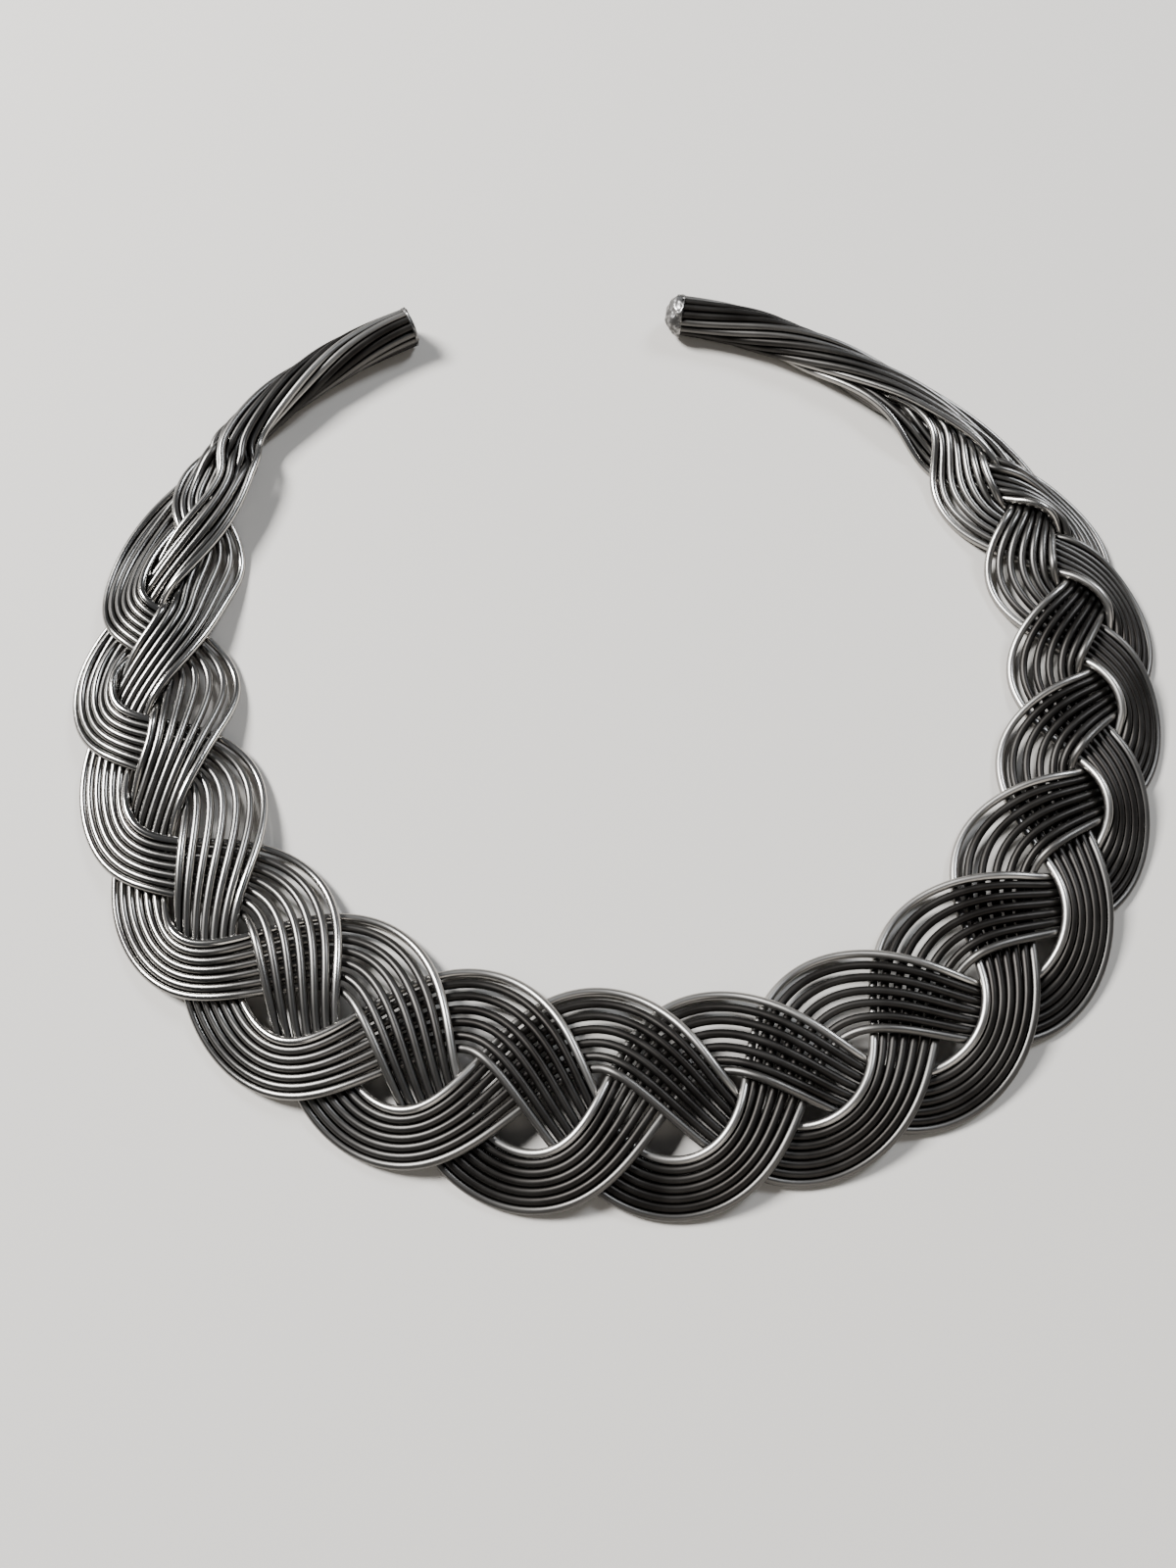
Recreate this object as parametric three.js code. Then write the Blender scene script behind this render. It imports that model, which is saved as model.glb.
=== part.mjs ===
// Hasli necklace: a rigid open collar plaited from 21 round silver wires.
//
// Three strands of seven wires lie side by side as flat ribbons and are plaited flat around the
// neck. Behind the neck the plait is drawn together into a twisted rope on each side of the gap,
// and solder closes the end of each rope.
//
// Millimetres. +Z up, the front of the collar toward -Y, the gap toward +Y. The collar lies flat,
// as on a table, with its lowest wires on Z = 0.

import * as THREE from 'three';

// ---------------------------------------------------------------- driving sizes

const STRANDS = ['a', 'b', 'c'];
const WIRES_PER_STRAND = 7;
const WIRE_GAUGE = 1.22;        // diameter of the drawn wire
const WIRE_SECTION = 1.0;       // corner to corner of the faceted wire, under gauge so neighbours clear
const WIRE_SIDES = 5;
const CROSSING_RISE = 1.46;     // centre to centre where one wire rides over another
const DOME_HEIGHT = 3.0;        // rise of the middle of the plait above its two edges
const EDGE_LIFT = 0.1;          // how far the edge wires hover above the table line
const OUTER_FULLNESS = 1.35;    // how round the outer turns are: handle length over chord length
const INNER_FULLNESS = 1.05;    // and the inner turns
const TIGHT_PITCH = 0.9;        // a strand lying tighter than this is in two layers
const HALF_LAYER = 0.53;

const ROPE_RING = 2.78;         // the 14 outer wires of a rope lie on this radius
const ROPE_CORE = 1.42;         // and 6 more on this, around the last one
const ROPE_SPACING = 360 / 14;  // degrees from wire to wire in the ring
const CORE_SPACING = 60;        // and in the core
const ROPE_AXIS_Z = ROPE_RING + WIRE_GAUGE / 2;

const STEPS_PER_SWING = 16;     // fine stations between one turn and the next
const STEPS_PER_ROPE = 16;
const SECTIONS_KEPT = 88;       // stations that stay in each strand's solids
const FAN_OPENS = 96;           // degrees of a swing at which a strand starts to fan apart
const FAN_WIDEST = 178;
const FAN_CLOSED = 285;
const CUSP_ROUNDS = 14;         // rounds that straighten a wire inside a tight turn
const CUSP_LIMIT = 0.4;         // progress along the strand below which a turn counts as tight
const FAIR_ROUNDS = 12;         // rounds that take the kinks out of a wire

const SETTLE_ROUNDS = 300;
const HIGHEST_LIFT = 2.4;       // the most a wire is lifted over the wires it rides on
const CLEARANCE = 1.22;         // axis to axis between any two wires once they are parted
const PART_ROUNDS = 120;
const EASING = 0.3;             // how readily a pushed wire takes its neighbouring stations along
const EASING_SHARE = 0.6;       // share of the rounds in which it does
const CELL = 3;                 // square of the grid that finds wires lying near each other

// Turns of the plait along its outer edge, from the left rope around the front to the right rope.
// angle is measured at the collar's centre in degrees from straight ahead, + to the right;
// radius is the distance to the outer face of the strand, pitch from wire to wire.
const OUTER_TURNS = [
  { angle: -126.8, radius: 83.1, pitch: 1.10 },
  { angle: -111.0, radius: 86.4, pitch: 1.15 },
  { angle: -96.5, radius: 86.6, pitch: 1.24 },
  { angle: -81.8, radius: 85.0, pitch: 1.25 },
  { angle: -66.5, radius: 84.2, pitch: 1.25 },
  { angle: -51.2, radius: 82.6, pitch: 1.25 },
  { angle: -35.8, radius: 81.2, pitch: 1.25 },
  { angle: -19.6, radius: 80.8, pitch: 1.25 },
  { angle: -3.2, radius: 80.8, pitch: 1.25 },
  { angle: 12.4, radius: 80.6, pitch: 1.25 },
  { angle: 28.2, radius: 82.6, pitch: 1.25 },
  { angle: 43.6, radius: 84.0, pitch: 1.25 },
  { angle: 60.0, radius: 84.0, pitch: 1.25 },
  { angle: 74.6, radius: 85.3, pitch: 1.25 },
  { angle: 87.0, radius: 87.0, pitch: 1.25 },
  { angle: 99.0, radius: 86.0, pitch: 1.22 },
  { angle: 110.5, radius: 82.8, pitch: 1.15 },
  { angle: 125.0, radius: 79.8, pitch: 1.00 },
];

// Turns along the inner edge: the strand that made outer turn n makes inner turn n next.
// radius is to the inner face of the strand; pitch is how far its wires fan apart there.
const INNER_TURNS = [
  { angle: -117.0, radius: 65.4, pitch: 1.70 },
  { angle: -99.0, radius: 60.2, pitch: 2.00 },
  { angle: -82.0, radius: 56.2, pitch: 2.05 },
  { angle: -62.5, radius: 54.0, pitch: 2.10 },
  { angle: -47.4, radius: 50.4, pitch: 2.15 },
  { angle: -29.2, radius: 48.5, pitch: 2.20 },
  { angle: -12.8, radius: 47.5, pitch: 2.20 },
  { angle: 2.0, radius: 49.4, pitch: 2.15 },
  { angle: 20.0, radius: 50.9, pitch: 2.15 },
  { angle: 37.6, radius: 54.0, pitch: 2.15 },
  { angle: 53.8, radius: 55.9, pitch: 2.15 },
  { angle: 69.0, radius: 58.6, pitch: 2.05 },
  { angle: 82.0, radius: 61.2, pitch: 1.95 },
  { angle: 96.5, radius: 62.8, pitch: 1.80 },
  { angle: 110.0, radius: 63.4, pitch: 1.45 },
  { angle: 117.5, radius: 67.6, pitch: 1.15 },
];

// Near the left rope the middle wires of the strands also pass these places. slant is the angle
// by which the course there leads outwards.
const GUIDES = [
  { strand: 'c', angle: -128.2, radius: 74.4, pitch: 0.62, slant: -18 },
  { strand: 'c', angle: -111.0, radius: 76.9, pitch: 0.7, slant: 15 },
  { strand: 'a', angle: -103.0, radius: 71.6, pitch: 1.2, slant: 26 },
  { strand: 'b', angle: -86.0, radius: 69.9, pitch: 1.35, slant: 28 },
];

// The ropes behind the neck: axis from root to tip, and the solder on the tip. Looking along a
// rope, the first strand of the order lies at the angle lead from its top, + toward the outside
// of the collar; the second follows on its outer side and the third on its inner side.
const ROPES = {
  left: {
    side: -1,
    root: { angle: -136.0, radius: 81.0 },
    tip: { angle: -161.0, radius: 80.3 },
    order: ['c', 'a', 'b'],
    lead: -45,
    twist: 130,
    cap: { radius: 3.35, crown: 1.1 },
  },
  right: {
    side: 1,
    root: { angle: 135.0, radius: 74.4 },
    tip: { angle: 161.4, radius: 74.9 },
    order: ['b', 'c', 'a'],
    lead: 10,
    twist: -155,
    cap: { radius: 3.35, crown: 3.0 },
  },
};
const CAP_GAP = 0.3;
const CAP_PLATE = 0.8;          // straight rim of a cap before its crown
const CAP_SIDES = 24;

// ---------------------------------------------------------------- small helpers

const radians = THREE.MathUtils.degToRad;
const degrees = THREE.MathUtils.radToDeg;

function smooth(x) {
  const t = THREE.MathUtils.clamp(x, 0, 1);
  return t * t * (3 - 2 * t);
}

function fromPolar(angle, radius) {
  const a = radians(angle);
  return new THREE.Vector2(radius * Math.sin(a), -radius * Math.cos(a));
}

// Direction of travel at an angle of the collar, from the left rope toward the right one.
function alongCollar(angle) {
  const a = radians(angle);
  return new THREE.Vector2(Math.cos(a), Math.sin(a));
}

function interpolate(rows, angle, key) {
  if (angle <= rows[0].angle) {
    return rows[0][key];
  }
  for (let k = 1; k < rows.length; k += 1) {
    if (angle <= rows[k].angle) {
      const t = (angle - rows[k - 1].angle) / (rows[k].angle - rows[k - 1].angle);
      return THREE.MathUtils.lerp(rows[k - 1][key], rows[k][key], t);
    }
  }
  return rows[rows.length - 1][key];
}

// ---------------------------------------------------------------- route of a strand, seen from above

// A stop is a place that a strand's middle wire passes: strand n makes every third outer turn and
// the inner turn after it.
function strandStops(strand) {
  const half = (WIRES_PER_STRAND - 1) / 2;
  const ofStrand = (_, k) => k % STRANDS.length === strand;
  const root = (rope) => ({ kind: 'root', ...rope.root, slant: 0 });
  const outer = (turn) => {
    const radius = turn.radius - WIRE_GAUGE / 2 - half * turn.pitch * 0.95;
    return { kind: 'outer', ...turn, radius, slant: 0 };
  };
  const inner = (turn) => {
    const radius = turn.radius + WIRE_GAUGE / 2 + half * turn.pitch;
    return { kind: 'inner', ...turn, radius, slant: 0 };
  };
  const guides = GUIDES.filter((guide) => guide.strand === STRANDS[strand]);
  const stops = [
    root(ROPES.left),
    ...OUTER_TURNS.filter(ofStrand).map(outer),
    ...INNER_TURNS.filter(ofStrand).map(inner),
    ...guides.map((guide) => ({ kind: 'guide', ...guide })),
    root(ROPES.right),
  ];
  return stops.sort((a, b) => a.angle - b.angle);
}

// Wires fan apart around an inner turn and close up again before the next crossing.
// swing is 0 at an outer turn, 180 at the inner one and 360 at the next outer one.
function fan(swing) {
  const away = swing - FAN_WIDEST;
  const reach = away < 0 ? FAN_WIDEST - FAN_OPENS : FAN_CLOSED - FAN_WIDEST;
  const x = Math.min(Math.abs(away) / reach, 1);
  return 0.5 + 0.5 * Math.cos(Math.PI * x ** 1.25);
}

// Spacing of the wires at share u of the way between two stops.
function pitchAt(from, to, u) {
  if (from.kind === 'root') {
    return to.pitch;
  }
  if (to.kind === 'root') {
    return from.pitch;
  }
  if (from.kind === 'guide' || to.kind === 'guide') {
    return THREE.MathUtils.lerp(from.pitch, to.pitch, smooth(u));
  }
  if (from.kind === 'inner') {
    return THREE.MathUtils.lerp(to.pitch, from.pitch, fan(180 + 180 * u));
  }
  return THREE.MathUtils.lerp(from.pitch, to.pitch, fan(180 * u));
}

// The middle of a strand between two stops, as one cubic swing with its handles along the collar.
function swingStations(from, to, last) {
  const start = fromPolar(from.angle, from.radius);
  const end = fromPolar(to.angle, to.radius);
  const reach = start.distanceTo(end);
  const handle = (stop) => {
    const fullness = { outer: OUTER_FULLNESS, inner: INNER_FULLNESS }[stop.kind] ?? 1;
    return alongCollar(stop.angle - stop.slant).multiplyScalar(reach * fullness);
  };
  const leave = handle(from);
  const arrive = handle(to);
  const stations = [];
  for (let n = 0; n < STEPS_PER_SWING + (last ? 1 : 0); n += 1) {
    const u = n / STEPS_PER_SWING;
    const place = new THREE.Vector2()
      .addScaledVector(start, 2 * u ** 3 - 3 * u ** 2 + 1)
      .addScaledVector(leave, u ** 3 - 2 * u ** 2 + u)
      .addScaledVector(end, 3 * u ** 2 - 2 * u ** 3)
      .addScaledVector(arrive, u ** 3 - u ** 2);
    const heading = new THREE.Vector2()
      .addScaledVector(start, 6 * u ** 2 - 6 * u)
      .addScaledVector(leave, 3 * u ** 2 - 4 * u + 1)
      .addScaledVector(end, 6 * u - 6 * u ** 2)
      .addScaledVector(arrive, 3 * u ** 2 - 2 * u)
      .normalize();
    stations.push({
      place,
      heading,
      pitch: pitchAt(from, to, u),
      approach: from.kind === 'root' || to.kind === 'root',
      intoRope: { left: from.kind === 'root' ? 1 - u : 0, right: to.kind === 'root' ? u : 0 },
    });
  }
  return stations;
}

function strandStations(strand) {
  const stops = strandStops(strand);
  const stations = [];
  for (let k = 1; k < stops.length; k += 1) {
    stations.push(...swingStations(stops[k - 1], stops[k], k === stops.length - 1));
  }
  return stations;
}

// ---------------------------------------------------------------- ropes

// 1 for the strand on top of a rope where it starts, 0 for the next and -1 for the lowest.
function layerOf(rope, strand) {
  return 1 - rope.order.indexOf(STRANDS[strand]);
}

// Place of a wire across a rope, outward and up from its axis. The ring takes five or four wires
// of each strand and the core the others.
function ropeSlot(rope, strand, offset, turned) {
  const place = rope.order.indexOf(STRANDS[strand]);
  const middle = radians(rope.lead + [0, 5, -4.5][place] * ROPE_SPACING);
  const lowest = place === 2;
  const size = Math.abs(offset);
  const inRing = size >= 2 || (offset === 0 && !lowest);
  const radius = inRing ? ROPE_RING : ROPE_CORE * size;
  const aside = inRing
    ? radians(ROPE_SPACING) * Math.sign(offset) * (size - (lowest ? 1.5 : 1))
    : radians(CORE_SPACING / 2) * offset;
  const angle = middle + (Math.cos(middle) > 0 ? aside : -aside) + turned;
  return new THREE.Vector2(radius * Math.sin(angle), radius * Math.cos(angle));
}

function ropePoints(rope, strand, offset) {
  const points = [];
  for (let n = 1; n <= STEPS_PER_ROPE; n += 1) {
    const v = n / STEPS_PER_ROPE;
    const angle = THREE.MathUtils.lerp(rope.root.angle, rope.tip.angle, v);
    const radius = THREE.MathUtils.lerp(rope.root.radius, rope.tip.radius, v);
    const slot = ropeSlot(rope, strand, offset, radians(rope.twist) * (1 - (1 - v) ** 1.6));
    const place = fromPolar(angle, radius + slot.x);
    points.push({ x: place.x, y: place.y, z: ROPE_AXIS_Z + slot.y, held: true, approach: true });
  }
  return points;
}

// ---------------------------------------------------------------- the plait before it settles

// Place across the plait: -1 at its inner edge, 0 in the middle, 1 at its outer edge.
function acrossPlait(x, y) {
  const angle = degrees(Math.atan2(x, -y));
  const inner = interpolate(INNER_TURNS, angle, 'radius') + WIRE_GAUGE / 2;
  const outer = interpolate(OUTER_TURNS, angle, 'radius') - WIRE_GAUGE / 2;
  return (Math.hypot(x, y) - (inner + outer) / 2) / ((outer - inner) / 2);
}

// From a point of a wire to the middle between its two neighbours.
function halfwayOff(points, k) {
  const [before, at, after] = [points[k - 1], points[k], points[k + 1]];
  const off = (axis) => (before[axis] + after[axis]) / 2 - at[axis];
  return new THREE.Vector3(off('x'), off('y'), off('z'));
}

function shiftBy(points, moves) {
  moves.forEach((move, n) => {
    const point = points[n + 1];
    point.x += move.x;
    point.y += move.y;
    point.z += move.z;
  });
}

// Draws a wire straighter on the inside of a turn that is too tight for it.
function easeCusps(points, stations) {
  const tight = stations.slice(0, -1).map((station, k) => {
    const full = station.place.distanceTo(stations[k + 1].place);
    const dx = points[k + 1].x - points[k].x;
    const dy = points[k + 1].y - points[k].y;
    return 1 - smooth((dx * station.heading.x + dy * station.heading.y) / full / CUSP_LIMIT);
  });
  const near = (k) => [-2, -1, 0, 1, 2].reduce((sum, step) => sum + (tight[k + step] ?? 0), 0);
  const inner = points.slice(1, -1);
  const shares = inner.map((_, n) => 0.8 * Math.min(near(n + 1) / 3, 1));
  for (let round = 0; round < CUSP_ROUNDS; round += 1) {
    shiftBy(points, inner.map((_, n) => halfwayOff(points, n + 1).multiplyScalar(shares[n])));
  }
}

// Takes the kinks out of a wire and leaves its larger bends as they are.
function fair(points) {
  const inner = points.slice(1, -1);
  for (let round = 0; round < 2 * FAIR_ROUNDS; round += 1) {
    const pull = round % 2 === 0 ? 0.5 : -0.52;
    shiftBy(points, inner.map((_, n) => halfwayOff(points, n + 1).multiplyScalar(pull)));
  }
}

function wirePoints(strand, wire) {
  const offset = wire - (WIRES_PER_STRAND - 1) / 2;
  const stations = strandStations(strand);
  const plait = stations.map((station) => {
    const { place, heading, pitch, intoRope, approach } = station;
    const x = place.x + heading.y * pitch * offset;
    const y = place.y - heading.x * pitch * offset;
    const across = Math.min(Math.abs(acrossPlait(x, y)), 1);
    const stacked = 1 - smooth((pitch - TIGHT_PITCH) / 0.3);
    let aside = pitch * offset;
    let z = WIRE_GAUGE / 2 + EDGE_LIFT + DOME_HEIGHT * (1 - across ** 2);
    z += stacked * HALF_LAYER * (offset % 2 === 0 ? -1 : 1);
    for (const name of ['left', 'right']) {
      const slot = ropeSlot(ROPES[name], strand, offset, 0);
      const share = smooth(intoRope[name]);
      aside = THREE.MathUtils.lerp(aside, slot.x, share);
      z = THREE.MathUtils.lerp(z, ROPE_AXIS_Z + slot.y, share);
    }
    const held = intoRope.left === 1 || intoRope.right === 1;
    return { x: place.x + heading.y * aside, y: place.y - heading.x * aside, z, held, approach };
  });
  easeCusps(plait, stations);
  const points = [
    ...ropePoints(ROPES.left, strand, offset).reverse(),
    ...plait,
    ...ropePoints(ROPES.right, strand, offset),
  ];
  fair(points);
  return points.map((point) => ({ ...point, rest: point.z }));
}

// ---------------------------------------------------------------- settling: over one, under one

// In a flat plait of three, strand a always rides over b, b over c and c over a. Where both
// strands run into a rope they keep the order of its layers.
function ridesOver(wireA, pointA, wireB, pointB) {
  if (pointA.approach || pointB.approach) {
    const rope = pointA.x < 0 ? ROPES.left : ROPES.right;
    return layerOf(rope, wireA.strand) > layerOf(rope, wireB.strand);
  }
  return (wireB.strand - wireA.strand + STRANDS.length) % STRANDS.length === 1;
}

// A spot is a place on a wire: share t of the way from its point k to the next.
function heightAt(spot) {
  return THREE.MathUtils.lerp(spot.points[spot.k].z, spot.points[spot.k + 1].z, spot.t);
}

function shiftAt(spot, amount) {
  const weights = [1 - spot.t, spot.t];
  const total = weights[0] ** 2 + weights[1] ** 2;
  weights.forEach((weight, n) => {
    const point = spot.points[spot.k + n];
    if (!point.held) {
      point.z += (amount * weight) / total;
    }
  });
}

function crossing(wireA, spotA, wireB, spotB) {
  const over = ridesOver(wireA, spotA.points[spotA.k], wireB, spotB.points[spotB.k]);
  return over ? { upper: spotA, lower: spotB } : { upper: spotB, lower: spotA };
}

// Where two wires cross, seen from above.
function findCrossings(wireA, wireB) {
  const found = [];
  const longest = 12;
  for (let i = 0; i + 1 < wireA.points.length; i += 1) {
    const a = wireA.points[i];
    const ax = wireA.points[i + 1].x - a.x;
    const ay = wireA.points[i + 1].y - a.y;
    for (let k = 0; k + 1 < wireB.points.length; k += 1) {
      const b = wireB.points[k];
      const dx = b.x - a.x;
      const dy = b.y - a.y;
      if (Math.abs(dx) + Math.abs(dy) > longest) {
        continue;
      }
      const bx = wireB.points[k + 1].x - b.x;
      const by = wireB.points[k + 1].y - b.y;
      const turn = ax * by - ay * bx;
      const s = (dx * by - dy * bx) / turn;
      const t = (dx * ay - dy * ax) / turn;
      if (s >= 0 && s < 1 && t >= 0 && t < 1) {
        const spotA = { points: wireA.points, k: i, t: s };
        const spotB = { points: wireB.points, k, t };
        found.push(crossing(wireA, spotA, wireB, spotB));
      }
    }
  }
  return found;
}

function partCrossings(crossings) {
  for (const { upper, lower } of crossings) {
    const lack = CROSSING_RISE - (heightAt(upper) - heightAt(lower));
    if (lack > 0) {
      shiftAt(upper, lack / 2);
      shiftAt(lower, -lack / 2);
    }
  }
}

function spring(points) {
  const lift = points.map((p) => p.z - p.rest);
  for (let k = 1; k + 1 < points.length; k += 1) {
    if (!points[k].held) {
      points[k].z += 0.35 * ((lift[k - 1] + lift[k + 1]) / 2 - lift[k]);
    }
  }
}

// Each wire springs straight between its crossings while the crossings hold the wires apart.
function settle(wires) {
  const crossings = [];
  wires.forEach((a, n) => {
    for (const b of wires.slice(n + 1)) {
      if (a.strand !== b.strand) {
        crossings.push(...findCrossings(a, b));
      }
    }
  });
  for (let round = 0; round < SETTLE_ROUNDS; round += 1) {
    wires.forEach(({ points }) => spring(points));
    partCrossings(crossings);
    for (const { points } of wires) {
      for (const point of points) {
        point.z = THREE.MathUtils.clamp(point.z, WIRE_GAUGE / 2, point.rest + HIGHEST_LIFT);
      }
    }
  }
}

// Where two straight lengths of wire come closest: shares along each and the line between them.
function closest(p, q) {
  const [p0, p1] = p;
  const [q0, q1] = q;
  const along = p1.clone().sub(p0);
  const other = q1.clone().sub(q0);
  const back = p0.clone().sub(q0);
  const a = along.dot(along);
  const e = other.dot(other);
  const b = along.dot(other);
  const c = along.dot(back);
  const f = other.dot(back);
  const clamp = (x) => THREE.MathUtils.clamp(x, 0, 1);
  let s = clamp((b * f - c * e) / Math.max(a * e - b * b, 1e-9));
  const t = clamp((b * s + f) / e);
  s = clamp((b * t - c) / a);
  const between = back.addScaledVector(along, s).addScaledVector(other, -t);
  return { s, t, between };
}

// Pairs of straight lengths, one on each of two wires, that lie near each other.
function nearPairs(lines, reach) {
  const cells = new Map();
  const pairs = [];
  lines.forEach((line, wire) => {
    for (let k = 0; k + 1 < line.length; k += 1) {
      const length = [line[k], line[k + 1]];
      const met = new Set();
      const low = length[0].clone().min(length[1]).subScalar(reach).divideScalar(CELL).floor();
      const high = length[0].clone().max(length[1]).addScalar(reach).divideScalar(CELL).floor();
      for (let x = low.x; x <= high.x; x += 1) {
        for (let y = low.y; y <= high.y; y += 1) {
          const key = `${x},${y}`;
          if (!cells.has(key)) {
            cells.set(key, []);
          }
          for (const entry of cells.get(key)) {
            if (entry.wire !== wire && !met.has(entry)) {
              met.add(entry);
              pairs.push([length, entry.length]);
            }
          }
          cells.get(key).push({ wire, length });
        }
      }
    }
  });
  return pairs;
}

// Pushes every two wires apart until their axes keep the clearance, wherever they meet. The tips
// stay where the ropes put them.
function separate(wires) {
  const lines = wires.map(({ points }) => points.map((p) => new THREE.Vector3(p.x, p.y, p.z)));
  const rest = lines.map((line) => line.map((point) => point.clone()));
  let pairs = [];
  for (let round = 0; round < PART_ROUNDS; round += 1) {
    if (round % 10 === 0) {
      pairs = nearPairs(lines, CLEARANCE);
    }
    for (const [p, q] of pairs) {
      const { s, t, between } = closest(p, q);
      const gap = between.length();
      if (gap < CLEARANCE && gap > 1e-6) {
        const total = (1 - s) ** 2 + s ** 2 + (1 - t) ** 2 + t ** 2;
        between.multiplyScalar((CLEARANCE - gap) / (gap * total));
        p[0].addScaledVector(between, 1 - s);
        p[1].addScaledVector(between, s);
        q[0].addScaledVector(between, t - 1);
        q[1].addScaledVector(between, -t);
      }
    }
    lines.forEach((line, n) => {
      line.forEach((point, k) => {
        if (k === 0 || k + 1 === line.length) {
          point.copy(rest[n][k]);
        } else if (round < PART_ROUNDS * EASING_SHARE) {
          const shift = (m) => line[m].clone().sub(rest[n][m]);
          const ease = shift(k - 1).add(shift(k + 1)).multiplyScalar(0.5).sub(shift(k));
          point.addScaledVector(ease, EASING);
        }
        point.z = Math.max(point.z, WIRE_GAUGE / 2);
      });
    });
  }
  wires.forEach((wire, n) => {
    wire.points = lines[n];
  });
}

// ---------------------------------------------------------------- solids

// Stations where all seven wires of a strand run nearly straight are left out of the solids.
// A bend in height counts for more than one in plan, because crossings leave less room there.
function thinOut(strandWires, keep) {
  const kept = strandWires[0].map((_, k) => k);
  const bend = (before, at, after) => {
    let worst = 0;
    for (const points of strandWires) {
      const p = points[before];
      const q = points[after];
      for (let k = before + 1; k < after; k += 1) {
        const r = points[k];
        const length = Math.hypot(q.x - p.x, q.y - p.y);
        const t = ((r.x - p.x) * (q.x - p.x) + (r.y - p.y) * (q.y - p.y)) / length ** 2;
        const side = Math.abs((r.x - p.x) * (q.y - p.y) - (r.y - p.y) * (q.x - p.x)) / length;
        const rise = Math.abs(r.z - THREE.MathUtils.lerp(p.z, q.z, t));
        worst = Math.max(worst, side, 3 * rise);
      }
    }
    return worst;
  };
  while (kept.length > keep) {
    let best = 1;
    let least = Infinity;
    for (let n = 1; n + 1 < kept.length; n += 1) {
      const cost = bend(kept[n - 1], kept[n], kept[n + 1]);
      if (cost < least) {
        least = cost;
        best = n;
      }
    }
    kept.splice(best, 1);
  }
  return kept;
}

// A closed rod of regular section along a line of points, with flat ends.
function rod(points, across, sides) {
  const position = [];
  const index = [];
  const ring = (k) => k * sides;
  points.forEach((point, k) => {
    const before = points[Math.max(k - 1, 0)];
    const after = points[Math.min(k + 1, points.length - 1)];
    const tangent = after.clone().sub(before).normalize();
    const side = new THREE.Vector3().crossVectors(tangent, new THREE.Vector3(0, 0, 1)).normalize();
    const up = new THREE.Vector3().crossVectors(side, tangent);
    for (let n = 0; n < sides; n += 1) {
      const a = (2 * Math.PI * n) / sides;
      const corner = point.clone()
        .addScaledVector(side, (across / 2) * Math.sin(a))
        .addScaledVector(up, (across / 2) * Math.cos(a));
      position.push(corner.x, corner.y, corner.z);
    }
  });
  for (let k = 0; k + 1 < points.length; k += 1) {
    for (let n = 0; n < sides; n += 1) {
      const m = (n + 1) % sides;
      index.push(ring(k) + n, ring(k + 1) + m, ring(k + 1) + n);
      index.push(ring(k) + n, ring(k) + m, ring(k + 1) + m);
    }
  }
  const last = ring(points.length - 1);
  for (let n = 1; n + 1 < sides; n += 1) {
    index.push(0, n + 1, n);
    index.push(last, last + n, last + n + 1);
  }
  const geometry = new THREE.BufferGeometry();
  geometry.setAttribute('position', new THREE.Float32BufferAttribute(position, 3));
  geometry.setIndex(index);
  return geometry;
}

// Solder on a rope's tip: a plate as wide as the rope, crowned like a flattened bead.
function capGeometry(cap) {
  const profile = [new THREE.Vector2(0, 0), new THREE.Vector2(cap.radius, 0)];
  for (let n = 0; n <= 6; n += 1) {
    const a = radians(15 * n);
    profile.push(new THREE.Vector2(cap.radius * Math.cos(a), CAP_PLATE + cap.crown * Math.sin(a)));
  }
  profile[profile.length - 1].x = 0;
  return new THREE.LatheGeometry(profile, CAP_SIDES);
}

function capMesh(name, rope, material) {
  const mesh = new THREE.Mesh(capGeometry(rope.cap), material);
  const axis = fromPolar(rope.tip.angle, rope.tip.radius);
  const forward = alongCollar(rope.tip.angle).multiplyScalar(rope.side);
  mesh.name = name;
  mesh.position.set(axis.x + forward.x * CAP_GAP, axis.y + forward.y * CAP_GAP, ROPE_AXIS_Z);
  mesh.quaternion.setFromUnitVectors(new THREE.Vector3(0, 1, 0), new THREE.Vector3(forward.x, forward.y, 0));
  return mesh;
}

// ---------------------------------------------------------------- assembly

function buildWires() {
  const wires = [];
  STRANDS.forEach((name, strand) => {
    for (let wire = 0; wire < WIRES_PER_STRAND; wire += 1) {
      wires.push({ name: `strand_${name}_wire_${wire + 1}`, strand, points: wirePoints(strand, wire) });
    }
  });
  settle(wires);
  separate(wires);
  STRANDS.forEach((_, strand) => {
    const members = wires.filter((wire) => wire.strand === strand);
    const kept = thinOut(members.map((wire) => wire.points), SECTIONS_KEPT);
    for (const wire of members) {
      wire.points = kept.map((k) => wire.points[k]);
    }
  });
  separate(wires);
  return wires;
}

const silver = () => new THREE.MeshStandardMaterial({ color: '#6f6b66', roughness: 0.34, metalness: 1 });
const solder = () => new THREE.MeshStandardMaterial({ color: '#8d8a86', roughness: 0.45, metalness: 1 });

const necklace = new THREE.Group();
for (const { name, points } of buildWires()) {
  const mesh = new THREE.Mesh(rod(points, WIRE_SECTION, WIRE_SIDES), silver());
  mesh.name = name;
  necklace.add(mesh);
}
necklace.add(capMesh('left_end_cap', ROPES.left, solder()));
necklace.add(capMesh('right_end_cap', ROPES.right, solder()));

// The origin is under the middle of the collar, on the table.
necklace.updateMatrixWorld(true);
const box = new THREE.Box3().setFromObject(necklace, true);
for (const mesh of necklace.children) {
  mesh.position.x -= (box.min.x + box.max.x) / 2;
  mesh.position.y -= (box.min.y + box.max.y) / 2;
  mesh.position.z -= box.min.z;
}

export default necklace;
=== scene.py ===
from collections import namedtuple
from math import cos, pi, radians, sin

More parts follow.
